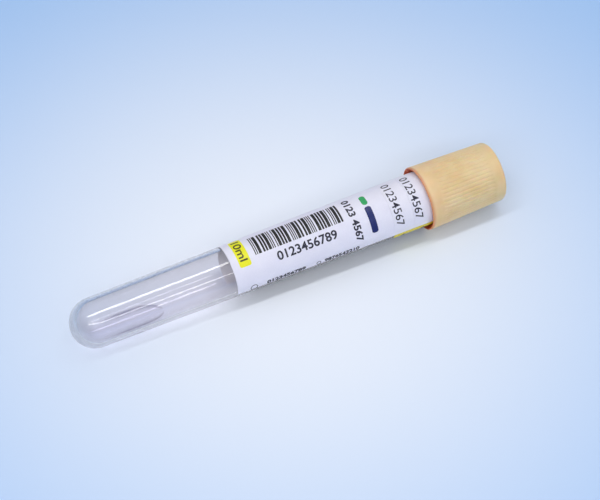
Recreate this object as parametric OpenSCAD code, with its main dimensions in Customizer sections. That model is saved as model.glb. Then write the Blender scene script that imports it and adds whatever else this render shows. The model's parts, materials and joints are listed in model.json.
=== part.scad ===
// Blood collection tube with its closure, lying on its side.
// The tube is drawn upright, round tip at the bottom, and lay() lays it down along +X.

/* [Tube] */
// Length of the tube from its round tip to its mouth
tube_length = 120; // [110:1:125]
// Outside diameter at the mouth
mouth_d = 15.6; // [15.4:0.1:15.8]
// Outside diameter where the round tip begins
tip_d = 14; // [13.6:0.1:14.4]
// Thickness of the side wall
wall = 1.1; // [0.9:0.05:1.2]
// Thickness of the bottom at the tip
bottom_wall = 1.7; // [1.4:0.1:2.2]

/* [Preservative] */
// Distance from the tip to the front of the liquid along the bottom
liquid_reach = 31; // [24:1:40]
// Height of the liquid's surface above the tube's axis
liquid_level = 1.5; // [-1:0.1:2.5]

/* [Label] */
// Distance from the tip to the edge of the label
label_start = 46; // [44:0.5:50]
// Distance around the tube that the label covers
label_width = 36; // [34:0.5:38]
// Thickness of the label
label_t = 0.12; // [0.1:0.01:0.15]
// Angle around the tube of the edge that the pull tabs stand past
label_edge_angle = 284; // [270:1:300]
// Width of one peel-off slip along the tube
slip_w = 6; // [5:0.1:6.5]
// Length of a slip around the tube, without its pull tab
slip_l = 24; // [20:0.5:28]
// Length of a pull tab around the tube
tab_l = 4.3; // [3.8:0.1:5]

/* [Print] */
// Thickness of a layer of ink
ink_t = 0.03; // [0.02:0.01:0.05]
// Width of the volume mark along the tube
mark_w = 3.4; // [3:0.1:4]
// Length of the volume mark around the tube
mark_l = 9.8; // [8:0.1:11]
// Length of the bar code along the tube
code_w = 26.6; // [24:0.2:28]
// Height of the bars around the tube
code_h = 6.2; // [5:0.1:7]

/* [Closure] */
// Length of the cap along the tube
cap_l = 24; // [22:0.5:26]
// Outside diameter of the cap at its open end
skirt_d = 18.7; // [18.4:0.1:19.2]
// Outside diameter of the cap at its closed end
crest_d = 17.3; // [17.1:0.1:17.8]
// Distance that the cap reaches past the tube's mouth
cap_past_mouth = 9; // [8.5:0.1:9.5]
// Number of grip grooves around the cap
grooves = 48; // [36:1:54]
// Diameter of the needle port in the cap
port_d = 7.6; // [7:0.1:8]
// Depth of the rubber plug in the tube's mouth
plug_l = 9; // [8:0.5:10]

/* [Hidden] */
$fn = 96;
eps = 0.01;

// Radii of the tube, and places along it
tip_r = tip_d / 2;
mouth_r = mouth_d / 2;
bore_tip_r = tip_r - wall;
bore_tip_z = bottom_wall + bore_tip_r;
function tube_r(z) = tip_r + (mouth_r - tip_r) * (z - tip_r) / (tube_length - tip_r);
lip_edge = 0.3;
skirt_z = tube_length + cap_past_mouth - cap_l;
cap_end_z = tube_length + cap_past_mouth;

// Liquid: its front bulges by this radius, and it stops this short of the wall
front_r = 8;
liquid_gap = 0.02;

// Label and slips: the label ends just inside the cap's skirt
label_under_skirt = 1;
slip_gap = 0.15;
tab_r = 3.25;
label_end = skirt_z + label_under_skirt;
slip_2_z = label_end - slip_w;
slip_1_z = slip_2_z - slip_gap - slip_w;
slips_z = slip_1_z - slip_gap;
function arc_angle(length) = length / (PI * (tip_d + mouth_d) / 2) * 360;
label_first_angle = label_edge_angle - arc_angle(label_width);
slip_first_angle = label_edge_angle - arc_angle(slip_l);

// Print: the volume mark and the bar code end this far around from the label's edge
mark_from_edge = 8.2;
code_from_edge = 10.2;
mark_from_start = 2.2;
code_from_mark = 1.9;
mark_z = label_start + mark_from_start;
code_z = mark_z + mark_w + code_from_mark;
mark_last_angle = label_edge_angle - arc_angle(mark_from_edge);
code_last_angle = label_edge_angle - arc_angle(code_from_edge);
bars = 32;

// Cap
skirt_r = skirt_d / 2;
crest_r = crest_d / 2;
function cap_r(h) = skirt_r + (crest_r - skirt_r) * h / cap_l;
cap_top_t = 1.9;
edge_r = 1.2;
rim_r = 0.35;
edge_past_side = 0.01;
cap_bore_r = mouth_r + 0.35;
bore_lead = 0.4;
groove_side = 0.5;
groove_depth = 0.2;
groove_start = 0.16 * cap_l;
groove_end = 0.85 * cap_l;

// Stopper: its flange turns freely in a chamber of the cap, and its beads slide in the tube
run_gap = 0.05;
chamber_r = mouth_r + 0.2;
chamber_z = tube_length - 0.25;
flange_z = tube_length + run_gap;
flange_top_z = cap_end_z - cap_top_t - run_gap;
bead_r = tube_r(tube_length - plug_l) - wall - run_gap;
plug_r = bead_r - 0.15;
bead_t = 1.2;
well_r = 3.2;
well_l = 2.6;
recess_r = 4.2;
recess_l = 6;
flange_r = chamber_r - run_gap;

// How the tube lies: on its round tip and on the rim of the cap's skirt
rim_z = skirt_z + rim_r - tip_r;
rim_out = cap_r(rim_r) - rim_r + edge_past_side;
lie_angle = atan2(rim_out, rim_z) - asin((tip_r - rim_r) / norm([rim_out, rim_z]));
edge_out = cap_r(cap_l - edge_r) - edge_r + edge_past_side;
edge_x = (cap_end_z - edge_r - tip_r) * cos(lie_angle) + edge_out * sin(lie_angle) + edge_r;
middle_x = (edge_x - tip_r) / 2;

module lay() {
    translate([-middle_x, 0, tip_r])
        rotate([0, 90 - lie_angle, 0])
            translate([0, 0, -tip_r])
                children();
}

// A ball of radius r at height z0 that goes on as a cone of radius end_r at end_z
module round_ended(r, z0, end_r, end_z) {
    translate([0, 0, z0]) sphere(r = r);
    translate([0, 0, z0]) cylinder(r1 = r, r2 = end_r, h = end_z - z0);
}

// What a rounded edge of radius r leaves out of a square corner
module corner(r) {
    difference() {
        square(2 * r);
        circle(r = r, $fn = 48);
    }
}

module tube() {
    over = 1;
    color([0.86, 0.88, 0.95, 0.45]) lay() difference() {
        round_ended(tip_r, tip_r, mouth_r, tube_length);
        round_ended(bore_tip_r, bore_tip_z, tube_r(tube_length + over) - wall, tube_length + over);
        rotate_extrude() translate([mouth_r - lip_edge, tube_length - lip_edge]) corner(lip_edge);
    }
}

// The pool lies in the round end, with a flat top and a front that bulges towards the mouth
module preservative() {
    color([0.93, 0.95, 0.97, 0.5]) lay() intersection() {
        round_ended(bore_tip_r - liquid_gap, bore_tip_z, tube_r(tube_length) - wall - liquid_gap,
                    tube_length);
        translate([-liquid_level, -mouth_r, 0]) cube([tip_d, mouth_d, liquid_reach]);
        union() {
            translate([-tip_d, -mouth_r, 0]) cube([2 * tip_d, mouth_d, liquid_reach - front_r]);
            translate([front_r - liquid_level, mouth_r, liquid_reach - front_r]) rotate([90, 0, 0])
                cylinder(r = front_r, h = mouth_d);
        }
    }
}

// A sheet of thickness t, wrapped on the tube from z0 to z1 between two angles and lifted off it
module wrapped(z0, z1, first_angle, last_angle, lift = 0, t = label_t) {
    rotate([0, 0, first_angle]) rotate_extrude(angle = last_angle - first_angle)
        polygon([[tube_r(z0) + lift, z0],
                 [tube_r(z0) + lift + t, z0],
                 [tube_r(z1) + lift + t, z1],
                 [tube_r(z1) + lift, z1]]);
}

// The label has a notch at its cap end, where the peel-off slips are cut out of it
module label() {
    over = 1;
    color([0.90, 0.90, 0.97]) lay() difference() {
        wrapped(label_start, label_end, label_first_angle, label_edge_angle);
        wrapped(slips_z, label_end + over, slip_first_angle - arc_angle(slip_gap),
                label_edge_angle + over, -over, 2 * over);
    }
}

// A strip that starts at first_angle and ends past the label's edge, in a round pull tab
module pull_tab(z, first_angle, lift = 0, t = label_t) {
    over = 1;
    end_angle = label_edge_angle + arc_angle(tab_l);
    round_angle = end_angle - arc_angle(tab_r);
    difference() {
        wrapped(z, z + slip_w, first_angle, end_angle, lift, t);
        difference() {
            wrapped(z - over, z + slip_w + over, round_angle, end_angle + over, -over, 2 * over);
            rotate([0, 0, round_angle]) translate([0, 0, z + slip_w / 2]) rotate([0, 90, 0])
                cylinder(r = tab_r, h = skirt_d);
        }
    }
}

module peel_slip_1() {
    color([0.92, 0.92, 0.98]) lay() pull_tab(slip_1_z, slip_first_angle);
}

module peel_slip_2() {
    color([0.92, 0.92, 0.98]) lay() pull_tab(slip_2_z, slip_first_angle);
}

module tab_print() {
    color([0.89, 0.83, 0.23]) lay()
        for (z = [slip_1_z, slip_2_z])
            pull_tab(z, label_edge_angle, label_t, ink_t);
}

module volume_mark() {
    color([0.96, 0.95, 0.17]) lay()
        wrapped(mark_z, mark_z + mark_w, mark_last_angle - arc_angle(mark_l), mark_last_angle,
                label_t, ink_t);
}

// Bars of one to three units with gaps of one or two, by a rule, so that they spell nothing
module bar_code() {
    function bar_units(i) = 1 + floor((i * i) % 7 / 2);
    function gap_units(i) = 1 + floor(((i * i + i) / 2) % 5 / 2);
    function units_before(i) = i == 0 ? 0 : units_before(i - 1) + bar_units(i - 1) + gap_units(i - 1);
    unit = code_w / (units_before(bars) - gap_units(bars - 1));
    color([0.08, 0.08, 0.10]) lay()
        for (i = [0 : bars - 1]) {
            z = code_z + unit * units_before(i);
            wrapped(z, z + unit * bar_units(i), code_last_angle - arc_angle(code_h), code_last_angle,
                    label_t, ink_t);
        }
}

// A plug with two sealing beads, a recess under it and a needle well over it
module stopper() {
    plug_z = tube_length - plug_l;
    color([0.45, 0.47, 0.50]) lay() difference() {
        union() {
            translate([0, 0, plug_z]) cylinder(r = plug_r, h = plug_l + 1);
            for (z = [plug_z + 0.25 * plug_l, plug_z + 0.65 * plug_l])
                translate([0, 0, z - bead_t / 2]) cylinder(r = bead_r, h = bead_t);
            translate([0, 0, flange_z]) cylinder(r = flange_r, h = flange_top_z - flange_z);
        }
        translate([0, 0, plug_z - eps]) cylinder(r1 = recess_r, r2 = recess_r - 0.6, h = recess_l);
        translate([0, 0, flange_top_z - well_l]) cylinder(r = well_r, h = well_l + 1);
    }
}

// A tapered cup, drawn from its rim up, with a rounded rim and a rounded top edge
module cap_outside() {
    rotate_extrude() difference() {
        polygon([[0, 0], [skirt_r, 0], [crest_r, cap_l], [0, cap_l]]);
        translate([edge_out, cap_l - edge_r]) corner(edge_r);
        translate([rim_out, rim_r]) mirror([0, 1]) corner(rim_r);
    }
}

module grip_grooves() {
    middle = (groove_start + groove_end) / 2;
    lean = atan((skirt_r - crest_r) / cap_l);
    out = cap_r(middle) - groove_depth + groove_side * sqrt(2) / 2;
    for (i = [0 : grooves - 1])
        rotate([0, 0, (i + 0.5) * 360 / grooves]) translate([out, 0, middle]) rotate([0, -lean, 45])
            cube([groove_side, groove_side, groove_end - groove_start], center = true);
}

module cap() {
    chamber_h = chamber_z - skirt_z;
    top_h = cap_l - cap_top_t;
    color([0.91, 0.77, 0.55]) lay() translate([0, 0, skirt_z]) difference() {
        cap_outside();
        grip_grooves();
        translate([0, 0, -eps]) cylinder(r1 = cap_bore_r + bore_lead, r2 = cap_bore_r, h = bore_lead);
        translate([0, 0, -eps]) cylinder(r = cap_bore_r, h = chamber_h + eps);
        translate([0, 0, chamber_h - eps]) cylinder(r = chamber_r, h = top_h - chamber_h + eps);
        translate([0, 0, top_h - eps]) cylinder(r = port_d / 2, h = cap_top_t + 1);
    }
}

tube();
preservative();
label();
peel_slip_1();
peel_slip_2();
volume_mark();
bar_code();
tab_print();
stopper();
cap();
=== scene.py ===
"""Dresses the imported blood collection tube: clear barrel, liquid, label with its print, stopper and cap.

Lengths are millimetres and angles are degrees until Lie.place() turns them into points in metres.
z is the distance from the round tip along the tube, r the distance from its axis, and turn the angle
around it from straight down towards +Y. A profile is an array of (z, r) points.
"""
import json
import logging
from dataclasses import dataclass, field
from enum import Enum
from functools import cache

import bmesh
import bpy
import numpy as np
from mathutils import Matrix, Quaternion, Vector


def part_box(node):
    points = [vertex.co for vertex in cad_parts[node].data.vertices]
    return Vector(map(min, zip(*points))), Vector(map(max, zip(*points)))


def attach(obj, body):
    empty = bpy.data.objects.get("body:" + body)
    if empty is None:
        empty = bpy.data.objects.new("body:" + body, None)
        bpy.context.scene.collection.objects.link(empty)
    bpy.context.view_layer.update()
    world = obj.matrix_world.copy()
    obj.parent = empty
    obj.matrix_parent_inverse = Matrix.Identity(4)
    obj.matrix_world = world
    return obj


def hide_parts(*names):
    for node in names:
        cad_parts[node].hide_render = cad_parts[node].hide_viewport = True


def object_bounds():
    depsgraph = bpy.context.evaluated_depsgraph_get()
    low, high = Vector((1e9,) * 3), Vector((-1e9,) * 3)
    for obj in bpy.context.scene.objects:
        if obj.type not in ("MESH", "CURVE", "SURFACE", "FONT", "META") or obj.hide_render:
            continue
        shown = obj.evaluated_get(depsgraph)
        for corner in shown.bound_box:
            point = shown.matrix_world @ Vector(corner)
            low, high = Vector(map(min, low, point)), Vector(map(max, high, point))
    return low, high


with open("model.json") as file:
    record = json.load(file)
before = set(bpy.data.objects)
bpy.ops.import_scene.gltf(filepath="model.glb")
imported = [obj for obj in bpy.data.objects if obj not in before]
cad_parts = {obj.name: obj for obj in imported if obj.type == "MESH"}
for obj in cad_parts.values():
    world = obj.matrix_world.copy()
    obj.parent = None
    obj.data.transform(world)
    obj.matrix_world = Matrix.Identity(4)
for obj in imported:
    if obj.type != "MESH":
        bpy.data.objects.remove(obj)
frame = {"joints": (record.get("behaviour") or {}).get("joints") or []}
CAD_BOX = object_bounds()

Array = np.ndarray
Sheet = tuple[Array, Array, Array]
Pair = tuple[float, float]
Triple = tuple[float, float, float]
Piece = bpy.types.Object
Material = bpy.types.Material
Node = bpy.types.Node
Tree = bpy.types.NodeTree

log = logging.getLogger("blood_collection_tube")

MM = 0.001
WELD_MM = 1e-4
FULL_TURN = 360.0


class Body(Enum):
    """The bodies that pieces ride on."""

    TUBE = "tube_body"
    STOPPER = "stopper_body"
    CAP = "cap_body"


class Slot(Enum):
    """The record's material slots."""

    CLEAR = "clear_pet"
    LIQUID = "preservative_liquid"
    LABEL = "label_paper"
    SLIP = "slip_paper"
    MARK = "mark_ink"
    CODE = "code_ink"
    TAB = "tab_ink"
    RUBBER = "butyl_rubber"
    CAP = "cap_plastic"


class Run(Enum):
    """How a line of print runs on the label."""

    ALONG = "from the tip to the cap"
    AROUND = "around the tube, with its top towards the cap"


# ---- form and place


@dataclass(frozen=True)
class TubeForm:
    """Sizes of the clear tube, which the other pieces sit on and in."""

    length: float = 120.0
    tip_r: float = 7.0
    mouth_r: float = 7.8
    wall: float = 1.1
    bottom_wall: float = 1.7
    lip_edge: float = 0.3

    @property
    def bore_tip_r(self) -> float:
        """Radius of the bore's round end."""
        return self.tip_r - self.wall

    @property
    def bore_end_r(self) -> float:
        """Radius of the bore at the mouth."""
        return self.mouth_r - self.wall

    @property
    def bore_tip_z(self) -> float:
        """Centre of the bore's round end."""
        return self.bottom_wall + self.bore_tip_r

    @property
    def mean_r(self) -> float:
        """Radius halfway along the tube, by which arcs on the label are measured."""
        return (self.tip_r + self.mouth_r) / 2

    def side_r(self, z: Array | float) -> Array | float:
        """Outside radius at z: it grows evenly from the tip's to the mouth's."""
        return self.tip_r + (self.mouth_r - self.tip_r) * (z - self.tip_r) / (self.length - self.tip_r)

    def bore_r(self, z: Array) -> Array:
        """Inside radius: a circle's half chord in the round end, and a straight cone past it.

        Args:
            z: distances along the tube.

        Returns:
            The radius at each.
        """
        ball = np.sqrt(np.clip(self.bore_tip_r**2 - (self.bore_tip_z - z) ** 2, 0, None))
        share = (z - self.bore_tip_z) / (self.length - self.bore_tip_z)
        cone = self.bore_tip_r + (self.bore_end_r - self.bore_tip_r) * share
        return np.where(z < self.bore_tip_z, ball, cone)

    def arc_deg(self, arc: Array | float) -> Array | float:
        """Angle around the tube that an arc of this length takes."""
        return np.degrees(arc / self.mean_r)


@dataclass(frozen=True)
class Lie:
    """Where the tube lies: its tip, and unit vectors along it, straight down from it and to its side."""

    tip: Array
    axis: Array
    down: Array
    side: Array

    @classmethod
    def of_frame(cls, form: TubeForm) -> "Lie":
        """Reads the tube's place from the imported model.

        Args:
            form: the tube's sizes.

        Returns:
            The lie, with the axis of the closure's slide and the tip that the tube's box gives.
        """
        pull = next(j for j in frame["joints"] if j["name"] == "closure_pull")
        axis = np.array(pull["axis"]) / np.linalg.norm(pull["axis"])
        side = np.array([0.0, 1.0, 0.0])
        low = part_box("tube")[0]
        ball = np.array([low.x + form.tip_r * MM, 0.0, low.z + form.tip_r * MM])
        return cls(ball - form.tip_r * MM * axis, axis, np.cross(side, axis), side)

    def place(self, z: Array, r: Array, turn: Array) -> Array:
        """Turns places on the tube into points.

        The point is the tip, plus z along the axis, plus r times (cos turn down + sin turn sideways).

        Args:
            z: distances along the tube.
            r: distances from the axis.
            turn: angles around it.

        Returns:
            Points in metres, in one more dimension than the arguments together.
        """
        z, r, turn = (a[..., None] for a in np.broadcast_arrays(z, r, np.radians(turn)))
        out = np.cos(turn) * self.down + np.sin(turn) * self.side
        return self.tip + MM * (z * self.axis + r * out)

    def read(self, piece: Piece) -> tuple[Array, Array, Array]:
        """Reads a piece's points back.

        Args:
            piece: the piece.

        Returns:
            Their distances along the tube, down from its axis and to its side.
        """
        points = np.empty(len(piece.data.vertices) * 3)
        piece.data.vertices.foreach_get("co", points)
        away = (points.reshape(-1, 3) - self.tip) / MM
        return away @ self.axis, away @ self.down, away @ self.side


# ---- meshes


def grid_faces(rows: int, cols: int, wrap_rows: bool = False, wrap_cols: bool = False) -> Array:
    """Quads of a grid of points, numbered row by row.

    Args:
        rows: number of rows.
        cols: number of columns.
        wrap_rows: whether the last row joins the first.
        wrap_cols: whether the last column joins the first.

    Returns:
        An (n, 4) array whose normals point along (row direction) x (column direction).
    """
    i = np.arange(rows if wrap_rows else rows - 1)[:, None]
    j = np.arange(cols if wrap_cols else cols - 1)[None, :]
    k, m = (i + 1) % rows, (j + 1) % cols
    corners = [i * cols + j, k * cols + j, k * cols + m, i * cols + m]
    return np.stack([np.broadcast_to(c, (i.size, j.size)).ravel() for c in corners], axis=1)


def split_quads(quads: Array) -> Array:
    """Cuts each quad into two triangles."""
    return np.vstack([quads[:, [0, 1, 2]], quads[:, [0, 2, 3]]])


def sewn(points: Array, faces: list[Array]) -> tuple[Array, list[Array]]:
    """Closes seams and poles: points at one place become one, and a quad with a side of no length a triangle.

    Args:
        points: an (n, 3) array in metres.
        faces: arrays of corner numbers, three or four to a face.

    Returns:
        The points that are left, and the faces that still have an area.
    """
    key = np.round(points / (WELD_MM * MM)).astype(np.int64)
    _, first, number = np.unique(key, axis=0, return_index=True, return_inverse=True)
    number = number.ravel()
    kept = []
    for group in faces:
        corners = number[group]
        same = corners == np.roll(corners, -1, axis=1)
        kept.append(corners[~same.any(axis=1)])
        if group.shape[1] == 4:
            one = same.sum(axis=1) == 1
            kept.append(corners[one][~same[one]].reshape(-1, 3))
    return points[first], [k for k in kept if len(k)]


def joined(sheets: list[Sheet]) -> Sheet:
    """Lays flat sheets side by side in one.

    Args:
        sheets: for each, two coordinates of its points, and its faces on them.

    Returns:
        The same of them all, with each sheet's faces numbered on from those before it.
    """
    first, second, faces = zip(*sheets)
    before = np.cumsum([0, *(len(points) for points in first)])
    numbered = [group + count for group, count in zip(faces, before)]
    return np.concatenate(first), np.concatenate(second), np.vstack(numbered)


def thickened(outer: Array, inner: Array, faces: Array) -> tuple[Array, list[Array]]:
    """Gives a sheet its thickness: the sheet, the same sheet turned over, and a wall on each open edge.

    An edge is open if no other face runs along it the other way.

    Args:
        outer: points of the sheet's upper side.
        inner: the same points on its lower side.
        faces: its faces, with normals out of the upper side.

    Returns:
        All points, and the faces in three groups: upper side, lower side and walls.
    """
    count = len(outer)
    start, stop = faces.ravel(), np.roll(faces, -1, axis=1).ravel()
    is_open = ~np.isin(start * count + stop, stop * count + start)
    a, b = start[is_open], stop[is_open]
    walls = np.stack([b, a, a + count, b + count], axis=1)
    return np.vstack([outer, inner]), [faces, faces[:, ::-1] + count, walls]


def make_object(
    name: str, points: Array, faces: list[Array], finishes: list[Material], sharp: float = 35.0
) -> Piece:
    """Makes an object at the origin, with its place in its mesh.

    Args:
        name: the piece's name.
        points: an (n, 3) array in metres.
        faces: arrays of corner numbers, three or four to a face.
        finishes: its material and, if there is a second one, that of the second group of faces.
        sharp: edges that turn by more than this angle stay sharp.

    Returns:
        The object.
    """
    mesh = bpy.data.meshes.new(name)
    mesh.from_pydata(points.tolist(), [], [f for group in faces for f in group.tolist()])
    mesh.polygons.foreach_set("use_smooth", np.ones(len(mesh.polygons), dtype=bool))
    if len(finishes) > 1:
        groups = [np.full(len(group), i == 1, dtype=np.int32) for i, group in enumerate(faces)]
        mesh.polygons.foreach_set("material_index", np.concatenate(groups))
    mesh.set_sharp_from_angle(angle=np.radians(sharp))
    mesh.update()
    for finish in finishes:
        mesh.materials.append(finish)
    made = bpy.data.objects.new(name, mesh)
    bpy.context.scene.collection.objects.link(made)
    return made


def lathe(
    name: str,
    lie: Lie,
    profile: Array,
    around: int,
    finish: Material,
    loop: bool = False,
    sunk: Array | float = 0.0,
) -> Piece:
    """Turns a profile around the tube's axis.

    A point is lie.place(z, r - sunk, turn), for each (z, r) of the profile and each of `around` even turns.

    Args:
        name: the piece's name.
        lie: where the tube lies.
        profile: on the outside it runs from the tip towards the cap.
        around: number of turns.
        finish: the material.
        loop: whether the profile closes on itself. If it doesn't, it starts and ends on the axis.
        sunk: how far each point is let in, for each turn (rows) and profile point (columns).

    Returns:
        The object.
    """
    turn = np.arange(around)[:, None] * FULL_TURN / around
    points = lie.place(profile[:, 0], profile[:, 1] - sunk, turn).reshape(-1, 3)
    quads = grid_faces(around, len(profile), wrap_rows=True, wrap_cols=loop)
    return make_object(name, *sewn(points, [quads]), [finish])


def mark(piece: Piece, name: str, values: Array) -> None:
    """Writes a number for each point of a piece, for its material to read as an attribute."""
    piece.data.attributes.new(name, "FLOAT", "POINT").data.foreach_set("value", values)


def arc(z: float, r: float, radius: float, start: float, stop: float, steps: int = 8) -> Array:
    """Points of a circle's arc in a profile.

    Args:
        z: the centre's distance along the tube.
        r: the centre's distance from the axis.
        radius: the arc's radius.
        start: first angle, where 0 points away from the axis and 90 towards the cap.
        stop: last angle.
        steps: number of points.

    Returns:
        (z, r) points at (z + radius sin angle, r + radius cos angle).
    """
    angle = np.radians(np.linspace(start, stop, steps))
    return np.stack([z + radius * np.sin(angle), r + radius * np.cos(angle)], axis=1)


def smooth_step(x: Array) -> Array:
    """Rises from 0 to 1 as x does, level at both ends: 3 x squared less 2 x cubed."""
    x = np.clip(x, 0, 1)
    return x * x * (3 - 2 * x)


# ---- finishes

# A cloud pattern mostly runs between these two values.
CLOUD_LOW, CLOUD_HIGH = 0.3, 0.7


def linear(colour: str) -> tuple[float, float, float, float]:
    """Turns an sRGB hex colour such as "#E1C89A" into a linear one.

    Args:
        colour: the hex colour.

    Returns:
        Its red, green and blue, and an alpha of 1.
    """
    srgb = np.array([int(colour[i : i + 2], 16) for i in (1, 3, 5)]) / 255
    lin = np.where(srgb <= 0.04045, srgb / 12.92, ((srgb + 0.055) / 1.055) ** 2.4)
    return (*lin.tolist(), 1.0)


def add_node(
    tree: Tree,
    kind: str,
    inputs: dict | None = None,
    ramp: dict[float, str] | None = None,
    **settings: object,
) -> Node:
    """Adds a node.

    Args:
        tree: the tree it goes into.
        kind: its type's name, past "ShaderNode".
        inputs: for a socket's name or number, its value, a hex colour, or what to link to it: an output
            socket, or a node, whose first output it is then.
        ramp: a colour ramp's two places, and the hex colour at each.
        settings: the node's own properties.

    Returns:
        The node.
    """
    node = tree.nodes.new(f"ShaderNode{kind}")
    for key, value in settings.items():
        setattr(node, key, value)
    for number, (place, colour) in enumerate((ramp or {}).items()):
        node.color_ramp.elements[number].position = place
        node.color_ramp.elements[number].color = linear(colour)
    for key, value in (inputs or {}).items():
        if isinstance(value, (Node, bpy.types.NodeSocket)):
            tree.links.new(value.outputs[0] if isinstance(value, Node) else value, node.inputs[key])
        else:
            node.inputs[key].default_value = linear(value) if isinstance(value, str) else value
    return node


def new_material(name: str) -> tuple[Material, Tree]:
    """Makes an empty node material.

    Args:
        name: its name.

    Returns:
        The material and its tree.
    """
    material = bpy.data.materials.new(name)
    material.use_nodes = True
    material.node_tree.nodes.clear()
    return material, material.node_tree


def clouds(tree: Tree, size: float, stretch: float = 1.0, detail: float = 2.0) -> Node:
    """Adds a cloud pattern on Object coordinates, which are metres.

    Args:
        tree: the tree it goes into.
        size: millimetres across a cloud.
        stretch: how many times longer it is along the tube.
        detail: how many finer layers it has.

    Returns:
        The noise node.
    """
    place = add_node(tree, "TexCoord").outputs["Object"]
    drawn = add_node(tree, "Mapping", {"Vector": place, "Scale": (1 / stretch, 1, 1)})
    return add_node(tree, "TexNoise", {"Vector": drawn, "Scale": 1 / (size * MM), "Detail": detail})


def clouded(
    tree: Tree,
    even: dict,
    colour: tuple[Node, str, str] | None = None,
    marked: tuple[str, str] | None = None,
    roughness: tuple[Node, Pair] | None = None,
    relief: tuple[Node, float] | None = None,
) -> Node:
    """Adds a Principled shader whose colour, roughness and relief may each follow a cloud pattern.

    Args:
        tree: the tree it goes into.
        even: its inputs that are the same all over.
        colour: a pattern, and the colours where it is low and high.
        marked: a point attribute, and the colour where that is 1.
        roughness: a pattern, and the roughness where it is low and high.
        relief: a pattern, and its depth in millimetres.

    Returns:
        The shader.
    """
    inputs = dict(even)
    if colour:
        pattern, low, high = colour
        inputs["Base Color"] = add_node(tree, "ValToRGB", {0: pattern}, {CLOUD_LOW: low, CLOUD_HIGH: high})
    if marked:
        name, there = marked
        share = add_node(tree, "Attribute", attribute_name=name).outputs["Fac"]
        sides = {"Factor": share, 6: inputs["Base Color"], 7: there}
        inputs["Base Color"] = add_node(tree, "Mix", sides, data_type="RGBA").outputs[2]
    if roughness:
        pattern, (low, high) = roughness
        span = {"From Min": CLOUD_LOW, "From Max": CLOUD_HIGH, "To Min": low, "To Max": high}
        inputs["Roughness"] = add_node(tree, "MapRange", {"Value": pattern, **span})
    if relief:
        pattern, depth = relief
        inputs["Normal"] = add_node(tree, "Bump", {"Height": pattern, "Distance": depth * MM})
    return add_node(tree, "BsdfPrincipled", inputs)


def lit_through(tree: Tree, surface: Node, shade: str) -> Node:
    """Lets lamps shine straight through a clear surface, so that what is inside is lit.

    Args:
        tree: the tree it goes into.
        surface: the surface's shader.
        shade: the colour that it gives their light.

    Returns:
        The surface's shader, with a plain transparent one for shadow rays.
    """
    thin = add_node(tree, "BsdfTransparent", {"Color": shade})
    ray = add_node(tree, "LightPath").outputs["Is Shadow Ray"]
    return add_node(tree, "MixShader", {0: ray, 1: surface, 2: thin})


@dataclass(frozen=True)
class ClearPet:
    """Injection-moulded PET: glossy and clear, and greyer the farther light goes through its wall.

    Moulding leaves faint flow waves along the barrel, which make its long highlights waver, and handling
    leaves a fine scuff that only dulls the gloss.
    """

    tint: str = "#F8F7FA"
    shade: str = "#FAF9FB"
    body: str = "#948A7F"
    per_metre: float = 90.0
    ior: float = 1.575
    roughness: Pair = (0.02, 0.07)
    wave: float = 4.0
    wave_stretch: float = 5.0
    wave_depth: float = 0.012
    scuff: float = 1.2

    def material(self) -> Material:
        """Builds the material.

        Returns:
            The material.
        """
        material, tree = new_material("clear moulded PET")
        plastic = clouded(
            tree,
            {"Base Color": self.tint, "IOR": self.ior, "Transmission Weight": 1.0},
            roughness=(clouds(tree, self.scuff, detail=4.0), self.roughness),
            relief=(clouds(tree, self.wave, self.wave_stretch), self.wave_depth),
        )
        body = add_node(tree, "VolumeAbsorption", {"Color": self.body, "Density": self.per_metre})
        surface = lit_through(tree, plastic, self.shade)
        add_node(tree, "OutputMaterial", {"Surface": surface, "Volume": body})
        return material


@dataclass(frozen=True)
class Liquid:
    """Clear watery preservative: it bends light less than the wall does, and its surface mirrors softly.

    Where it climbs the wall, a band that the piece's "edge" attribute gives is painted grey: painted
    shade for the light that the steep surface there sends aside.
    """

    tint: str = "#FCFCFD"
    # painted shade of the band where the liquid climbs the wall
    edge: str = "#B4B2C2"
    shade: str = "#F8F7FA"
    ior: float = 1.335
    roughness: float = 0.01
    ripple: float = 5.0
    ripple_depth: float = 0.02

    def material(self) -> Material:
        """Builds the material.

        Returns:
            The material.
        """
        material, tree = new_material("clear preservative liquid")
        even = {"IOR": self.ior, "Transmission Weight": 1.0, "Roughness": self.roughness}
        water = clouded(
            tree,
            {"Base Color": self.tint, **even},
            # the painted shade goes where the edge attribute says
            marked=("edge", self.edge),
            relief=(clouds(tree, self.ripple, detail=1.0), self.ripple_depth),
        )
        add_node(tree, "OutputMaterial", {"Surface": lit_through(tree, water, self.shade)})
        return material


@dataclass(frozen=True)
class Paper:
    """Coated label paper: white with a lavender cast and a low sheen, and thin enough to let light through.

    Its fibres cloud the coating faintly. They are 0.05 mm wide, too fine to show, so they are drawn at
    0.35 mm.
    """

    name: str
    light: str
    dark: str
    fibre: float = 0.35
    sheet_cloud: float = 6.0
    roughness: Pair = (0.38, 0.5)
    gloss: float = 0.4
    tooth: float = 0.012
    seep: float = 0.45
    seep_depth: float = 0.3
    seep_spread: Triple = (1.0, 1.0, 1.0)

    @cache
    def material(self) -> Material:
        """Builds the material, once for all that is made of it.

        Returns:
            The material.
        """
        material, tree = new_material(self.name)
        fibre = clouds(tree, self.fibre, detail=3.0)
        both = add_node(tree, "Math", {0: fibre, 1: clouds(tree, self.sheet_cloud)}, operation="ADD")
        paper = clouded(
            tree,
            {
                "Specular IOR Level": self.gloss,
                "Subsurface Weight": self.seep,
                "Subsurface Radius": self.seep_spread,
                "Subsurface Scale": self.seep_depth * MM,
            },
            colour=(add_node(tree, "Math", {0: both, 1: 0.5}, operation="MULTIPLY"), self.dark, self.light),
            roughness=(fibre, self.roughness),
            relief=(fibre, self.tooth),
        )
        add_node(tree, "OutputMaterial", {"Surface": paper})
        return material


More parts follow.
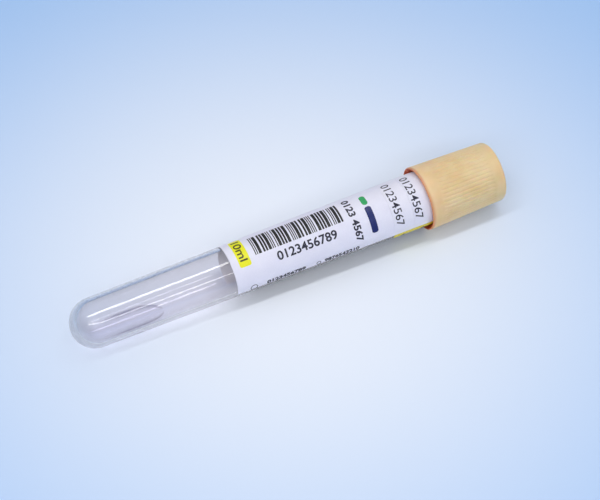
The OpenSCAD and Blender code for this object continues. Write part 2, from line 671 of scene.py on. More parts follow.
@dataclass(frozen=True)
class Ink:
    """Printed ink: an even colour that the ribbon or plate laid down a little thinner here and there."""

    name: str
    full: str
    thin: str
    mottle: float = 0.5
    roughness: Pair = (0.32, 0.46)
    gloss: float = 0.4

    @cache
    def material(self) -> Material:
        """Builds the material, once for all that it prints.

        Returns:
            The material.
        """
        material, tree = new_material(self.name)
        mottle = clouds(tree, self.mottle, detail=3.0)
        even = {"Specular IOR Level": self.gloss}
        ink = clouded(tree, even, (mottle, self.full, self.thin), roughness=(mottle, self.roughness))
        add_node(tree, "OutputMaterial", {"Surface": ink})
        return material


class LabelInk(Enum):
    """The inks on the label."""

    CODE = Ink("black code ink", "#08080B", "#121217")
    NUMBER = Ink("thermal number ink", "#1E1E30", "#2A2A3E")
    MARK = Ink("yellow mark ink", "#E6E412", "#EDEB26")
    VOLUME = Ink("olive number ink", "#3E3E12", "#4C4C1A")
    GREEN = Ink("green ink", "#2C9C58", "#38A866")
    NAVY = Ink("navy ink", "#101C5C", "#1A2868")
    TAB = Ink("yellow tab ink", "#E2D02C", "#EBDC40")


@dataclass(frozen=True)
class CapPlastic:
    """Moulded polypropylene: peach, satin, and lit a little from within, so its shade turns orange.

    The skirt's inside and the lip are painted a deep orange: painted shade for the light that bounces
    from wall to wall in the skirt, and painted glow for light through the thin lip; the piece's "inside"
    attribute says where. The mould's spark-eroded grain is 0.05 mm, too fine to show, so it is drawn at
    0.3 mm.
    """

    light: str = "#EBD0A6"
    dark: str = "#E3C494"
    # painted shade and glow: the dark orange mixed in inside the skirt and at its lip
    painted_glow_and_shade: str = "#B5501F"
    glow: float = 0.65
    glow_depth: float = 2.0
    glow_spread: Triple = (1.0, 0.35, 0.12)
    gloss: float = 0.25
    grain: float = 0.3
    grain_depth: float = 0.012
    cloud: float = 5.0
    roughness: Pair = (0.36, 0.48)
    ior: float = 1.51

    def material(self) -> Material:
        """Builds the material.

        Returns:
            The material.
        """
        material, tree = new_material("moulded peach polypropylene")
        grain = clouds(tree, self.grain, detail=3.0)
        plastic = clouded(
            tree,
            {
                "IOR": self.ior,
                "Subsurface Weight": self.glow,
                "Subsurface Radius": self.glow_spread,
                "Subsurface Scale": self.glow_depth * MM,
                "Specular IOR Level": self.gloss,
            },
            colour=(clouds(tree, self.cloud), self.dark, self.light),
            # the painted shade and glow go where the inside attribute says
            marked=("inside", self.painted_glow_and_shade),
            roughness=(grain, self.roughness),
            relief=(grain, self.grain_depth),
        )
        add_node(tree, "OutputMaterial", {"Surface": plastic})
        return material


@dataclass(frozen=True)
class ButylRubber:
    """Moulded butyl rubber: matt mid grey, with a dusty bloom in soft clouds."""

    dark: str = "#6B6E74"
    bloom: str = "#85888E"
    dust: float = 1.5
    grain: float = 0.25
    grain_depth: float = 0.02
    roughness: Pair = (0.6, 0.8)

    def material(self) -> Material:
        """Builds the material.

        Returns:
            The material.
        """
        material, tree = new_material("moulded butyl rubber")
        dust = clouds(tree, self.dust, detail=4.0)
        rubber = clouded(
            tree,
            {},
            colour=(dust, self.dark, self.bloom),
            roughness=(dust, self.roughness),
            relief=(clouds(tree, self.grain), self.grain_depth),
        )
        add_node(tree, "OutputMaterial", {"Surface": rubber})
        return material


# ---- print


@dataclass(frozen=True)
class Artwork:
    """A flat piece of print: triangles on points (x, y), x along its line of writing and y up."""

    x: Array
    y: Array
    faces: Array

    def laid(self, run: Run, z: float, around: float) -> Sheet:
        """Lays the print on the label.

        Args:
            run: which way its writing runs.
            z: distance from the tip of the print's middle.
            around: distance around the tube of its middle, from the middle of the label's front.

        Returns:
            z and the distance around for each point, and the triangles.
        """
        if run is Run.ALONG:
            return z + self.x, around - self.y, self.faces
        return z + self.y, around + self.x, self.faces


def patch(x: Array, half: Array, cols: int = 3) -> Artwork:
    """A patch that is symmetrical about its line: at each x its points reach from -half to half."""
    y = half[:, None] * np.linspace(-1, 1, cols)
    return Artwork(np.repeat(x, cols), y.ravel(), split_quads(grid_faces(len(x), cols)))


def bar(length: float, height: float, corner: float = 0.0, steps: int = 24) -> Artwork:
    """A bar with rounded corners: near its ends its half height falls by a quarter circle.

    Args:
        length: its length.
        height: its height.
        corner: radius of the quarter circle.
        steps: number of points along it.

    Returns:
        The artwork.
    """
    x = np.linspace(-length / 2, length / 2, steps)
    past = np.clip(np.abs(x) - (length / 2 - corner), 0, corner)
    return patch(x, height / 2 - corner + np.sqrt(np.clip(corner**2 - past**2, 0, None)))


def ring(radius: float, thickness: float, steps: int = 32) -> Artwork:
    """A ring: points at two radii, at even angles.

    Args:
        radius: its outer radius.
        thickness: its line's thickness.
        steps: number of angles.

    Returns:
        The artwork.
    """
    angle = np.linspace(0, 2 * np.pi, steps, endpoint=False)[:, None]
    r = np.array([radius, radius - thickness])
    faces = split_quads(grid_faces(steps, 2, wrap_rows=True))
    return Artwork((r * np.cos(angle)).ravel(), (r * np.sin(angle)).ravel(), faces)


def lettering(text: str, length: float, height: float, weight: float) -> Artwork:
    """Plain digits and words in the built-in typeface, cut into strips so that they bend with the label.

    Args:
        text: what it says.
        length: length of the line.
        height: height of the line.
        weight: how much its strokes are thickened, as a share of the letters' size.

    Returns:
        The artwork, with its middle at the origin.
    """
    strip_mm, weld, on_plane = 0.4, 1e-5, 1e-6
    curve = bpy.data.curves.new("lettering", "FONT")
    curve.body = text
    curve.offset = weight
    curve.resolution_u = 5
    holder = bpy.data.objects.new("lettering", curve)
    bpy.context.scene.collection.objects.link(holder)
    flat = bpy.data.meshes.new_from_object(holder.evaluated_get(bpy.context.evaluated_depsgraph_get()))
    bpy.data.objects.remove(holder)
    shape = bmesh.new()
    shape.from_mesh(flat)
    bpy.data.meshes.remove(flat)
    low = np.min([v.co[:2] for v in shape.verts], axis=0)
    high = np.max([v.co[:2] for v in shape.verts], axis=0)
    scale = np.array([length, height]) / (high - low)
    bmesh.ops.remove_doubles(shape, verts=shape.verts, dist=weld)
    for side in (0, 1):
        normal = (1 - side, side, 0)
        for at in np.arange(low[side], high[side], strip_mm / scale[side])[1:]:
            plane = Vector(normal) * float(at)
            everything = [*shape.verts, *shape.edges, *shape.faces]
            bmesh.ops.bisect_plane(shape, geom=everything, dist=on_plane, plane_co=plane, plane_no=normal)
            bmesh.ops.dissolve_degenerate(shape, dist=weld, edges=shape.edges)
    bmesh.ops.triangulate(shape, faces=shape.faces)
    shape.verts.index_update()
    points = np.array([v.co[:2] for v in shape.verts])
    faces = np.array([[v.index for v in f.verts] for f in shape.faces])
    shape.free()
    a, b, c = (points[faces[:, i]] for i in range(3))
    area = (b - a)[:, 0] * (c - a)[:, 1] - (b - a)[:, 1] * (c - a)[:, 0]
    faces[area < 0] = faces[area < 0][:, ::-1]
    return Artwork(*((points - (low + high) / 2) * scale).T, faces)


# ---- sub-assemblies


@dataclass
class Barrel:
    """The clear tube and the liquid in its round end."""

    form: TubeForm
    lie: Lie
    around: int = 256
    steps: int = 40
    gate_r: float = 1.1
    gate_depth: float = 0.04
    liquid_grid: tuple[int, int] = (49, 141)
    liquid_reach: float = 26.5
    liquid_below_axis: float = 4.7
    liquid_front: float = 12.0
    liquid_in_wall: float = 0.03
    liquid_sharp: float = 50.0
    climb: float = 0.5
    climb_l: float = 1.1
    # least width, start and rise of the painted shade band
    painted_band_least: float = 0.05
    painted_band_from: float = 0.15
    painted_band_rise: float = 2.5

    def profile(self) -> Array:
        """Profile of the tube: outside from the tip to the lip, over the lip, and back down the bore.

        A shallow dimple of smooth_step shape at the tip is what the mould's gate leaves.

        Returns:
            Its points.
        """
        form, edge, steps = self.form, self.form.lip_edge, self.steps
        lip_z = form.length - edge
        outside = arc(form.tip_r, 0, form.tip_r, -90, 0, steps)
        outside[:, 0] += self.gate_depth * (1 - smooth_step(outside[:, 1] / self.gate_r))
        parts = [
            outside,
            np.linspace((form.tip_r, form.tip_r), (lip_z, form.mouth_r), steps)[1:],
            arc(lip_z, form.mouth_r - edge, edge, 0, 90),
            arc(lip_z, form.bore_end_r + edge, edge, 90, 180),
            np.linspace((lip_z, form.bore_end_r), (form.bore_tip_z, form.bore_tip_r), steps),
            arc(form.bore_tip_z, 0, form.bore_tip_r, 0, -90, steps)[1:],
        ]
        return np.vstack(parts)

    def tube(self) -> Piece:
        """Builds the clear tube.

        Returns:
            The piece.
        """
        piece = lathe("clear_tube", self.lie, self.profile(), self.around, ClearPet().material())
        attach(piece, Body.TUBE.value)
        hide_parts("tube")
        return piece

    @property
    def liquid_start(self) -> float:
        """Where the liquid's surface meets the bore's round end."""
        ball_r = self.form.bore_tip_r + self.liquid_in_wall
        return self.form.bore_tip_z - np.sqrt(ball_r**2 - self.liquid_below_axis**2)

    def wetted(self, z: Array) -> tuple[Array, Array]:
        """How far up the wall the liquid stands.

        cos(wet) is the surface's depth under the axis over the bore's radius. Over the last liquid_front
        mm, wet falls by sqrt(1 - u cubed) for u from 0 to 1.

        Args:
            z: distances along the tube.

        Returns:
            The wall's radius at each, and wet, the angle in radians that the wall is wet to on each side.
        """
        form = self.form
        ball = (form.bore_tip_r + self.liquid_in_wall) ** 2 - (form.bore_tip_z - z) ** 2
        cone = form.bore_r(z) + self.liquid_in_wall
        bore = np.where(z < form.bore_tip_z, np.sqrt(np.clip(ball, 1e-6, None)), cone)
        front = np.clip((z - self.liquid_reach) / self.liquid_front + 1, 0, 1)
        wet = np.arccos(np.clip(self.liquid_below_axis / bore, 0, 1))
        return bore, wet * np.sqrt(1 - front**3)

    def mark_painted_shade_band(self, piece: Piece) -> None:
        """Marks the painted shade band where the liquid climbs the wall: exp(-(distance from its edge / band)
        squared).

        The band is widest halfway along, and narrows towards its ends as the root of half a sine wave. It
        fades by smooth_step towards the tip, where the round end holds the liquid level.

        Args:
            piece: the liquid.
        """
        z, down, side = self.lie.read(piece)
        bore, wet = self.wetted(z)
        gap = np.hypot(np.abs(side) - bore * np.sin(wet), down - bore * np.cos(wet))
        share = np.clip((z - self.liquid_start) / (self.liquid_reach - self.liquid_start), 0, 1)
        band = self.climb_l * np.sqrt(np.sin(np.pi * share)) + self.painted_band_least
        fade = smooth_step((share - self.painted_band_from) * self.painted_band_rise)
        # share of the painted shade
        mark(piece, "edge", np.exp(-((gap / band) ** 2)) * fade)

    def liquid(self) -> Piece:
        """Builds the liquid: a wetted wall and a free surface that share their edge.

        The free surface spans the chord between the wall's edges and sinks from them as it climbs the
        wall, by climb x (1 - exp(-distance from the wall / climb_l)), in proportion to the chord.

        Returns:
            The piece.
        """
        rows, cols = self.liquid_grid
        share = (1 - np.cos(np.linspace(0, np.pi, cols))) / 2
        z = self.liquid_start + (self.liquid_reach - self.liquid_start) * share
        bore, wet = self.wetted(z)
        wet[[0, -1]] = 0
        turn = np.linspace(-1, 1, rows)[:, None] * np.degrees(wet)
        wall = self.lie.place(z, bore, turn)
        s = np.sin(np.linspace(-np.pi / 2, np.pi / 2, rows))[:, None]
        half = bore * np.sin(wet)
        away = (1 - np.abs(s)) * half
        up = -bore * np.cos(wet) - self.climb * (1 - np.exp(-away / self.climb_l)) * half / half.max()
        free = self.lie.place(z, np.hypot(up, s * half), np.degrees(np.arctan2(s * half, -up)))
        points = np.vstack([wall.reshape(-1, 3), free.reshape(-1, 3)])
        under = grid_faces(rows, cols)
        sewed = sewn(points, [under, under[:, ::-1] + rows * cols])
        piece = make_object("preservative_pool", *sewed, [Liquid().material()], sharp=self.liquid_sharp)
        self.mark_painted_shade_band(piece)
        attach(piece, Body.TUBE.value)
        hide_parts("preservative")
        return piece


@dataclass(frozen=True)
class Film:
    """One film of print: what it prints, and how many films lie under it."""

    name: str
    ink: LabelInk
    art: list[Sheet]
    slot: Slot = Slot.CODE
    layer: int = 0


@dataclass
class Wrapper:
    """The label, its two peel-off slips with their pull tabs, and all the print."""

    form: TubeForm
    lie: Lie
    paper: Paper = Paper("white coated label paper", "#EBEBFF", "#E3E3FA")
    slip_paper: Paper = Paper("white coated slip paper", "#EDEDFF", "#E5E5FA")
    glue: Paper = Paper("glued back of the label", "#F2F2F8", "#EAEAF2")
    thickness: float = 0.12
    ink: float = 0.03
    front: float = 217.0
    start: float = 46.0
    end: float = 106.0
    width: float = 36.0
    edge: float = 284.0
    turn_steps: tuple[int, int] = (32, 64)
    z_steps: tuple[int, int] = (48, 13)
    slip_w: float = 6.0
    slip_l: float = 24.0
    slip_gap: float = 0.15
    slip_steps: int = 80
    cut: float = 0.05
    tab_l: float = 4.3
    tab_r: float = 3.25
    tab_steps: int = 20
    across_steps: int = 25
    mark_z: float = 48.2
    mark_w: float = 3.4
    mark_l: float = 9.8
    mark_from_edge: float = 8.2
    code_z: float = 53.5
    code_w: float = 26.6
    code_h: float = 6.2
    code_from_edge: float = 10.2
    bars: int = 32

    @property
    def slip_zs(self) -> Pair:
        """Where the two slips start."""
        second = self.end - self.slip_w
        return second - self.slip_gap - self.slip_w, second

    @property
    def slip_first(self) -> float:
        """The turn at which the slips start."""
        return self.edge - self.form.arc_deg(self.slip_l)

    @property
    def spare(self) -> float:
        """How far the paper reaches into the solids' gaps, so that only the knife's thin cut is left."""
        return self.slip_gap - self.cut

    @property
    def edge_around(self) -> float:
        """Distance around the tube from the middle of the label's front to its edge."""
        return np.radians(self.edge - self.front) * self.form.mean_r

    def sheet(
        self,
        name: str,
        flat: Sheet,
        finishes: list[Material],
        lift: float = 0.0,
        thickness: float | None = None,
    ) -> Piece:
        """Wraps a sheet on the tube, its lower side `lift` off the side's radius at each z.

        Args:
            name: the piece's name.
            flat: z and turn of each point, and the faces on those points, turned outwards.
            finishes: the material of its upper side and, if there is a second one, of its lower side.
            lift: height of its lower side over the tube.
            thickness: its thickness, or the label's own if it isn't given.

        Returns:
            The object, which rides on the tube's body.
        """
        z, turn, faces = flat
        under = self.form.side_r(z) + lift
        over = under + (self.thickness if thickness is None else thickness)
        points, groups = thickened(self.lie.place(z, over, turn), self.lie.place(z, under, turn), faces)
        piece = make_object(name, points, groups, finishes)
        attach(piece, Body.TUBE.value)
        return piece

    def label(self) -> Piece:
        """Builds the label, a grid of turns and lengths without the notch that the slips fill.

        Returns:
            The piece.
        """
        notch_z = self.slip_zs[0] - self.slip_gap
        notch_turn = self.slip_first - self.form.arc_deg(self.slip_gap)
        first = self.edge - self.form.arc_deg(self.width)
        (below, above), (before, past) = self.turn_steps, self.z_steps
        turns = np.linspace(first, notch_turn, below), np.linspace(notch_turn, self.edge, above)
        zs = np.linspace(self.start, notch_z, before), np.linspace(notch_z, self.end, past)
        turn, z = np.meshgrid(*(np.unique(np.concatenate(pair)) for pair in (turns, zs)), indexing="ij")
        faces = grid_faces(*turn.shape)
        middle_turn, middle_z = (a.ravel()[faces].mean(axis=1) for a in (turn, z))
        whole = faces[(middle_turn < notch_turn) | (middle_z < notch_z)]
        used, number = np.unique(whole, return_inverse=True)
        flat = z.ravel()[used], turn.ravel()[used], number.reshape(whole.shape)
        piece = self.sheet("wrapped_label", flat, [self.paper.material(), self.glue.material()])
        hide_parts("label")
        return piece

    def strip(self, start: float, first: float, rows: int) -> Sheet:
        """A strip from turn `first` to its pull tab's end, a circle's arc of tab_r around the tab's middle.

        Args:
            start: where the slip starts along the tube.
            first: the turn at which the strip starts.
            rows: number of turns.

        Returns:
            z and turn of each point, and the faces.
        """
        z = np.linspace(start - self.spare, start + self.slip_w, self.across_steps)
        middle = start + self.slip_w / 2
        end_arc = self.tab_l - self.tab_r + np.sqrt(self.tab_r**2 - (z - middle) ** 2)
        end = self.edge + self.form.arc_deg(end_arc)
        turn = first + (end - first) * np.linspace(0, 1, rows)[:, None]
        return np.tile(z, rows), turn.ravel(), grid_faces(*turn.shape)

    def slips(self) -> list[Piece]:
        """Builds the two peel-off slips.

        Returns:
            The pieces.
        """
        made, finishes = [], [self.slip_paper.material(), self.glue.material()]
        first = self.slip_first - self.form.arc_deg(self.spare)
        for number, start in enumerate(self.slip_zs, 1):
            flat = self.strip(start, first, self.slip_steps)
            piece = self.sheet(f"peel_slip_sheet_{number}", flat, finishes)
            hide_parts(f"peel_slip_{number}")
            made.append(piece)
        return made

    def tab_colour(self) -> Piece:
        """Builds the yellow of both pull tabs.

        Returns:
            The piece.
        """
        flat = joined([self.strip(start, self.edge, self.tab_steps) for start in self.slip_zs])
        yellow = LabelInk.TAB.value.material()
        piece = self.sheet("pull_tab_colour", flat, [yellow], self.thickness, self.ink)
        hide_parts("tab_print")
        return piece

    def code_strips(self) -> list[Sheet]:
        """Bars of one to three units with gaps of one or two, by a rule, so that they spell nothing.

        Returns:
            The bars, laid on the label.
        """
        i = np.arange(self.bars)
        wide = 1 + i * i % 7 // 2
        gap = 1 + (i * i + i) // 2 % 5 // 2
        before = np.concatenate([[0], np.cumsum(wide + gap)[:-1]])
        unit = self.code_w / (before[-1] + wide[-1])
        middle = self.code_z + unit * (before + wide / 2)
        around = self.edge_around - self.code_from_edge - self.code_h / 2
        sizes = zip(wide * unit, middle)
        return [bar(self.code_h, thick, steps=16).laid(Run.AROUND, z, around) for thick, z in sizes]

    def arrow(self, z: float, around: float) -> list[Sheet]:
        """A shaft and a head that points to the label.

        Args:
            z: where it is along the tube.
            around: distance around the tube of its middle.

        Returns:
            Both, laid on a pull tab.
        """
        length, head_w, point_w, shaft_w, steps = 0.95, 1.5, 0.02, 0.5, 8
        x = np.linspace(-length / 2, length / 2, steps)
        head = patch(x, np.linspace(point_w / 2, head_w / 2, steps))
        shaft = bar(length, shaft_w)
        sides = (head, around - length / 2), (shaft, around + length / 2)
        return [art.laid(Run.AROUND, z, middle) for art, middle in sides]

    def films(self) -> list[Film]:
        """Lists the films of print, the volume mark first and then the bar code.

        Returns:
            The films.
        """
        across, along = Run.AROUND, Run.ALONG
        digits = "0123456789"
        mark_z = self.mark_z + self.mark_w / 2
        mark_arc = self.edge_around - self.mark_from_edge - self.mark_l / 2
        tab_arc = self.edge_around + self.tab_l / 2
        volume_aside, slips_aside = 0.3, (1.2, 1.5)
        slip_middles = [z + self.slip_w / 2 for z in self.slip_zs]
        slip_zs = [z - aside for z, aside in zip(slip_middles, slips_aside)]
        volume_arc = mark_arc - volume_aside
        volume = lettering("10ml", length=7.2, height=2.3, weight=0.015)
        row = lettering(digits, length=18.0, height=2.6, weight=0.02)
        slip = lettering("01234567", length=13.6, height=2.35, weight=0.005)
        title = lettering("0123 4567", length=13.4, height=2.2, weight=0.03)
        up = lettering(digits, length=11.7, height=1.5, weight=0.045)
        down = lettering(digits[::-1], length=10.7, height=1.5, weight=0.045)
        mark_bar = bar(self.mark_l, self.mark_w, corner=0.5, steps=40)
        green = bar(length=3.4, height=1.7, corner=0.8)
        navy = bar(length=7.6, height=1.9, corner=0.5)
        side = [
            ring(radius=1.1, thickness=0.22).laid(along, z=50.8, around=7.9),
            up.laid(along, z=60.5, around=7.8),
            ring(radius=0.7, thickness=0.18).laid(along, z=70.3, around=7.9),
            down.laid(along, z=77.4, around=7.8),
        ]
        arrows = [part for z in slip_middles for part in self.arrow(z, tab_arc)]
        return [
            Film("volume_mark_colour", LabelInk.MARK, [mark_bar.laid(across, mark_z, mark_arc)], Slot.MARK),
            Film("bar_code_bars", LabelInk.CODE, self.code_strips()),
            Film("volume_number", LabelInk.VOLUME, [volume.laid(across, mark_z, volume_arc)], layer=1),
            Film("row_number", LabelInk.NUMBER, [row.laid(along, z=68.0, around=0.9)]),
            Film("slip_numbers", LabelInk.NUMBER, [slip.laid(across, z, around=-1.5) for z in slip_zs]),
            Film("title_number", LabelInk.NUMBER, [title.laid(across, z=83.1, around=-1.3)]),
            Film("side_numbers", LabelInk.NUMBER, side),
            Film("green_bar", LabelInk.GREEN, [green.laid(across, z=87.9, around=-5.4)]),
            Film("navy_bar", LabelInk.NAVY, [navy.laid(across, z=87.9, around=0.7)]),
            Film("tab_arrows", LabelInk.CODE, arrows, layer=1),
        ]

    def prints(self) -> list[Piece]:
        """Prints every film on the label.

        Returns:
            The pieces.
        """
        made = []
        for film in self.films():
            z, around, faces = joined(film.art)
            flat = z, self.front + self.form.arc_deg(around), faces
            lift = self.thickness + film.layer * self.ink
            piece = self.sheet(film.name, flat, [film.ink.value.material()], lift, self.ink)
            made.append(piece)
        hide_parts("volume_mark")
        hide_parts("bar_code")
        return made


@dataclass
class Closure:
    """The rubber stopper and the ribbed cap that holds it."""

    form: TubeForm
    lie: Lie
    cap_l: float = 24.0
    past_mouth: float = 9.0
    skirt_r: float = 9.35
    crest_r: float = 8.65
    edge_r: float = 1.2
    rim_r: float = 0.35
    top_t: float = 1.9
    port_r: float = 3.8
    port_edge: float = 0.25
    port_break: float = 0.1
    skirt_clearance: float = 0.35
    lead: float = 0.8
    # painted glow at the lip: its share at the rim and the length it fades over
    painted_lip_glow: float = 0.6
    painted_lip_glow_l: float = 1.1
    chamber_gap: float = 0.2
    chamber_before_mouth: float = 0.25
    chamber_edge: float = 0.3
    shoulder_l: float = 0.05
    side_steps: int = 64
    bore_steps: int = 12
    ribs: int = 48
    per_rib: int = 12
    rib_start: float = 0.16
    rib_end: float = 0.85
    rib_depth: float = 0.14
    rib_fade: float = 0.7
    plug_l: float = 9.0
    run_gap: float = 0.05
    bead_h: float = 0.15
    bead_l: float = 0.45
    bead_places: Pair = (0.25, 0.65)
    bead_steps: int = 90
    recess_r: float = 4.2
    recess_l: float = 6.0
    recess_top_r: float = 3.6
    recess_round: float = 1.2
    plug_round: float = 0.4
    flange_round: float = 0.3
    crown_round: float = 0.5
    well_r: float = 3.2
    well_l: float = 2.6
    well_round: float = 0.8
    stopper_around: int = 128

    @property
    def skirt_z(self) -> float:
        """Where the cap starts."""
        return self.form.length + self.past_mouth - self.cap_l

    @property
    def bore_r(self) -> float:
        """Radius of the skirt's bore."""
        return self.form.mouth_r + self.skirt_clearance

    @property
    def chamber_r(self) -> float:
        """Radius of the chamber that holds the stopper's flange."""
        return self.form.mouth_r + self.chamber_gap

    def side_r(self, h: float | Array) -> float | Array:
        """Outside radius of the cap at a height over its rim."""
        return self.skirt_r + (self.crest_r - self.skirt_r) * h / self.cap_l

    def cap_profile(self) -> Array:
        """Profile of the cap: rim, side, rounded top edge, port, chamber, bore and lead-in.

        Returns:
            Its points.
        """
        lean = np.degrees(np.arctan2(self.skirt_r - self.crest_r, self.cap_l))
        top, under = self.cap_l - self.edge_r, self.cap_l - self.top_t
        past_rim, before_edge = 1.5 * self.rim_r, 0.05
        side_h = np.linspace(past_rim, top - before_edge, self.side_steps)
        port_h, port_r = self.cap_l - self.port_edge, self.port_r + self.port_edge
        round_h, round_r = under - self.chamber_edge, self.chamber_r - self.chamber_edge
        step = self.form.length - self.chamber_before_mouth - self.skirt_z
        foot = step - self.shoulder_l
        profile = np.vstack(
            [
                arc(self.rim_r, self.side_r(self.rim_r) - self.rim_r, self.rim_r, -90, lean, steps=10),
                np.stack([side_h, self.side_r(side_h)], axis=1),
                arc(top, self.side_r(top) - self.edge_r, self.edge_r, lean, 90, steps=14),
                arc(port_h, port_r, self.port_edge, 90, 180, steps=6),
                [(under + self.port_break, self.port_r), (under, self.port_r + self.port_break)],
                arc(round_h, round_r, self.chamber_edge, 90, 0, steps=6),
                [(step, self.chamber_r)],
                np.linspace((foot, self.bore_r), (self.lead, self.bore_r), self.bore_steps),
                [(0.0, self.bore_r + self.lead)],
            ]
        )
        profile[:, 0] += self.skirt_z
        return profile

    def groove(self, profile: Array) -> Array:
        """How far the grip is let in.

        Around the cap it is ((1 + cos(ribs x turn)) / 2) to the fourth, a narrow round groove between
        broad ribs, and along it rises and fades by smooth_step.

        Args:
            profile: the cap's profile.

        Returns:
            The depth for each turn (rows) and profile point (columns).
        """
        turns = self.ribs * self.per_rib
        turn = np.radians(np.arange(turns) * FULL_TURN / turns)
        across = ((1 + np.cos(self.ribs * turn)) / 2) ** 4
        h = profile[:, 0] - self.skirt_z
        rise = smooth_step((h - self.rib_start * self.cap_l) / self.rib_fade)
        fall = smooth_step((self.rib_end * self.cap_l - h) / self.rib_fade)
        outside = np.isclose(profile[:, 1], self.side_r(h), atol=1e-6)
        return self.rib_depth * across[:, None] * (rise * fall * outside)[None, :]

    def mark_painted_glow_and_shade(self, piece: Piece) -> None:
        """Marks the inside of the skirt and its lip.

        The mark, painted shade, is 1 in the bore and its lead-in and 0 past rim_r more. Outside it is the lip
        glow's share at the rim, painted glow for light coming through the thin lip, and falls to 0 over the
        lip glow's length.

        Args:
            piece: the cap.
        """
        z, down, side = self.lie.read(piece)
        h = z - self.skirt_z
        bore_r = self.bore_r + np.clip(self.lead - h, 0, self.lead)
        # painted shade in the skirt's bore and lead-in
        inside = smooth_step((bore_r + self.rim_r - np.hypot(down, side)) / self.rim_r)
        lip = self.painted_lip_glow * smooth_step(1 - h / self.painted_lip_glow_l)
        mark(piece, "inside", np.maximum(inside, lip) * (z < self.form.length))

    def cap(self) -> Piece:
        """Builds the cap.

        Returns:
            The piece.
        """
        profile, plastic = self.cap_profile(), CapPlastic().material()
        turns = self.ribs * self.per_rib
        piece = lathe("ribbed_cap", self.lie, profile, turns, plastic, loop=True, sunk=self.groove(profile))
        # marks where the cap gets painted shade and glow
        self.mark_painted_glow_and_shade(piece)
        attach(piece, Body.CAP.value)
        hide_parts("cap")
        return piece

    def stopper_profile(self) -> Array:
        """Profile of the stopper: recess, plug with two sealing beads, flange and needle well.

        A bead stands out by exp(-(distance from its middle / bead_l) squared) of its height.

        Returns:
            Its points.
        """
        mouth, soft = self.form.length, self.plug_round
        end = mouth - self.plug_l
        flange_z, flange_r = mouth + self.run_gap, self.chamber_r - self.run_gap
        top = mouth + self.past_mouth - self.top_t - self.run_gap
        recess_z, well_z = end + self.recess_l, top - self.well_l
        plug_r = self.form.side_r(end) - self.form.wall - self.run_gap - self.bead_h
        z = np.linspace(end + soft, flange_z, self.bead_steps)
        middles = [end + share * self.plug_l for share in self.bead_places]
        lift = sum(np.exp(-(((z - middle) / self.bead_l) ** 2)) for middle in middles)
        small, dome, crown, well = self.flange_round, self.recess_round, self.crown_round, self.well_round
        return np.vstack(
            [
                [(recess_z, 0.0)],
                arc(recess_z - dome, self.recess_top_r - dome, dome, 90, 0, steps=10),
                arc(end + small, self.recess_r + small, small, 180, 270, steps=6),
                arc(end + soft, plug_r - soft, soft, -90, 0),
                np.stack([z, plug_r + self.bead_h * np.clip(lift, 0, 1)], axis=1),
                arc(flange_z + small, flange_r - small, small, -90, 0, steps=6),
                arc(top - crown, flange_r - crown, crown, 0, 90),
                arc(top - soft, self.well_r + soft, soft, 90, 180),
                arc(well_z + well, self.well_r - well, well, 0, -90, steps=10),
                [(well_z, 0.0)],
            ]
        )

    def stopper(self) -> Piece:
        """Builds the stopper.

        Returns:
            The piece.
        """
        rubber = ButylRubber().material()
        piece = lathe("rubber_stopper", self.lie, self.stopper_profile(), self.stopper_around, rubber)
        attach(piece, Body.STOPPER.value)
        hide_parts("stopper")
        return piece


# ---- studio


def placed(name: str, data: bpy.types.ID, place: Vector, turn: Quaternion) -> Piece:
    """Puts a lamp or a camera in the scene.

    Args:
        name: its name.
        data: the lamp or camera.
        place: where it stands, in metres.
        turn: how it is turned.

    Returns:
        The object.
    """
    made = bpy.data.objects.new(name, data)
    made.location = place
    made.rotation_mode = "QUATERNION"
    made.rotation_quaternion = turn
    bpy.context.scene.collection.objects.link(made)
    return made


@dataclass(frozen=True)
class StripLight:
    """A soft box: its middle and size in millimetres, and how bright it is."""

    name: str
    middle: Triple
    size: Pair
    watts: float

    def build(self, target: Vector) -> None:
        """Makes the lamp, with its long side along the tube.

        Args:
            target: what it points at.
        """
        data = bpy.data.lights.new(self.name, "AREA")
        data.shape = "RECTANGLE"
        data.size, data.size_y = (s * MM for s in self.size)
        data.energy = self.watts
        place = Vector(self.middle) * MM
        placed(self.name, data, place, (target - place).to_track_quat("-Z", "Y"))


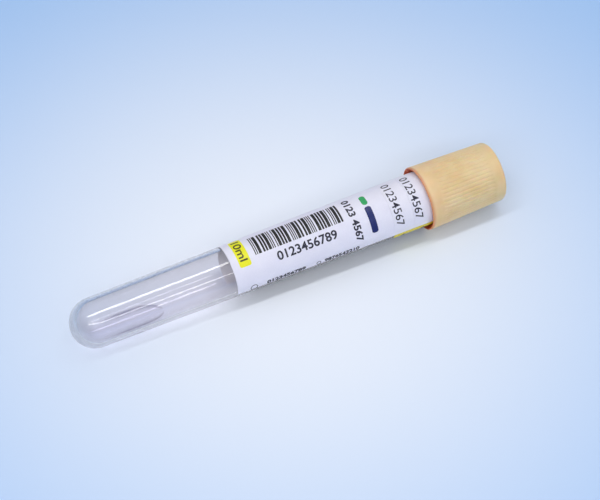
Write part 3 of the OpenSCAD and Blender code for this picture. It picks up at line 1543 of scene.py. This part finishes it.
@dataclass
class Studio:
    """Pale floor with a painted pool of light around the object, soft lamps and the camera."""

    floor_rings: tuple[float, ...] = (0.0, 100.0, 400.0, 2500.0)
    floor_steps: int = 96
    # painted pool of light: floor colour in the middle, at the edge, and the pool's radius
    floor_middle: str = "#EDF3FC"
    floor_edge: str = "#9FC6F5"
    floor_roughness: float = 0.9
    painted_pool_r: float = 170.0
    sky: str = "#E6E8F2"
    horizon: str = "#6E6E86"
    sky_light: str = "#F6F6FA"
    sky_strength: float = 0.55
    rise: Pair = (0.05, 0.7)
    azimuth: float = -25.5
    elevation: float = 50.0
    distance: float = 552.0
    lens: float = 120.0
    clip: Pair = (0.01, 20.0)
    aim_right: float = 3.2
    aim_up: float = -1.0
    lamps: list[StripLight] = field(
        default_factory=lambda: [
            StripLight("overhead_strip", (0, 0, 620), (800, 60), 1.35),
            StripLight("front_strip", (-120, -420, 420), (800, 25), 0.6),
            StripLight("soft_fill", (-500, -700, 900), (900, 900), 2.35),
        ]
    )

    def floor(self) -> None:
        """Builds the floor, a disc whose pale blue lightens towards its middle: a painted pool of light."""
        angle = np.linspace(0, 2 * np.pi, self.floor_steps, endpoint=False)[:, None]
        r = np.array(self.floor_rings) * MM
        x, y = r * np.cos(angle), r * np.sin(angle)
        points = np.stack([x, y, np.zeros(x.shape)], axis=-1).reshape(-1, 3)
        quads = grid_faces(*x.shape, wrap_rows=True)[:, ::-1]
        material, tree = new_material("pale floor with painted pool of light")
        place = add_node(tree, "TexCoord").outputs["Object"]
        away = add_node(tree, "VectorMath", {0: place}, operation="LENGTH").outputs["Value"]
        glow = {"Value": away, "From Min": 0.0, "From Max": self.painted_pool_r * MM}
        share = add_node(tree, "MapRange", glow, interpolation_type="SMOOTHSTEP")
        blue = add_node(tree, "ValToRGB", {0: share}, {0.0: self.floor_middle, 1.0: self.floor_edge})
        matt = add_node(tree, "BsdfPrincipled", {"Base Color": blue, "Roughness": self.floor_roughness})
        add_node(tree, "OutputMaterial", {"Surface": matt})
        disc = make_object("floor", *sewn(points, [quads]), [material])

    def world(self) -> None:
        """Makes the surroundings: soft light for surfaces, and a pale blue for what looks past the floor."""
        world = bpy.data.worlds.new("studio")
        world.use_nodes = True
        tree = world.node_tree
        tree.nodes.clear()
        ray = add_node(tree, "LightPath").outputs
        seen = ray["Is Camera Ray"]
        for kind in ("Is Glossy Ray", "Is Transmission Ray"):
            seen = add_node(tree, "Math", {0: seen, 1: ray[kind]}, operation="ADD", use_clamp=True)
        light = add_node(tree, "Background", {"Color": self.sky_light, "Strength": self.sky_strength})
        direction = add_node(tree, "TexCoord").outputs["Generated"]
        up = add_node(tree, "SeparateXYZ", {0: direction}).outputs["Z"]
        low, high = self.rise
        height = add_node(tree, "MapRange", {"Value": up, "From Min": low, "From Max": high})
        blue = add_node(tree, "ValToRGB", {0: height}, {0.0: self.horizon, 1.0: self.sky})
        view = add_node(tree, "Background", {"Color": blue, "Strength": 1.0})
        either = add_node(tree, "MixShader", {0: seen, 1: light, 2: view})
        add_node(tree, "OutputWorld", {"Surface": either})
        bpy.context.scene.world = world

    def camera(self, target: Vector) -> None:
        """Places the camera: back from the target by azimuth and elevation, and aimed a little past it.

        Args:
            target: the object's middle.
        """
        a, e = np.radians([self.azimuth, self.elevation])
        back = Vector((np.sin(a) * np.cos(e), -np.cos(a) * np.cos(e), np.sin(e)))
        turn = (-back).to_track_quat("-Z", "Y")
        aim = target + turn @ Vector((self.aim_right, self.aim_up, 0)) * MM
        data = bpy.data.cameras.new("camera")
        data.lens = self.lens
        data.clip_start, data.clip_end = self.clip
        bpy.context.scene.camera = placed("camera", data, aim + back * self.distance * MM, turn)

    def build(self) -> None:
        """Builds the floor, the lamps, the surroundings and the camera."""
        low, high = CAD_BOX
        middle = (low + high) / 2
        self.floor()
        self.world()
        for lamp in self.lamps:
            lamp.build(middle)
        self.camera(middle)
        bpy.context.scene.view_settings.view_transform = "Standard"


def main() -> None:
    """Builds every sub-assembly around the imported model."""
    logging.basicConfig(level=logging.INFO, format="%(name)s: %(message)s")
    form = TubeForm()
    lie = Lie.of_frame(form)
    barrel, wrapper, closure = Barrel(form, lie), Wrapper(form, lie), Closure(form, lie)
    for piece in (
        barrel.tube(),
        barrel.liquid(),
        wrapper.label(),
        *wrapper.slips(),
        wrapper.tab_colour(),
        *wrapper.prints(),
        closure.stopper(),
        closure.cap(),
    ):
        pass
    Studio().build()


if __name__ == "__main__":
    main()
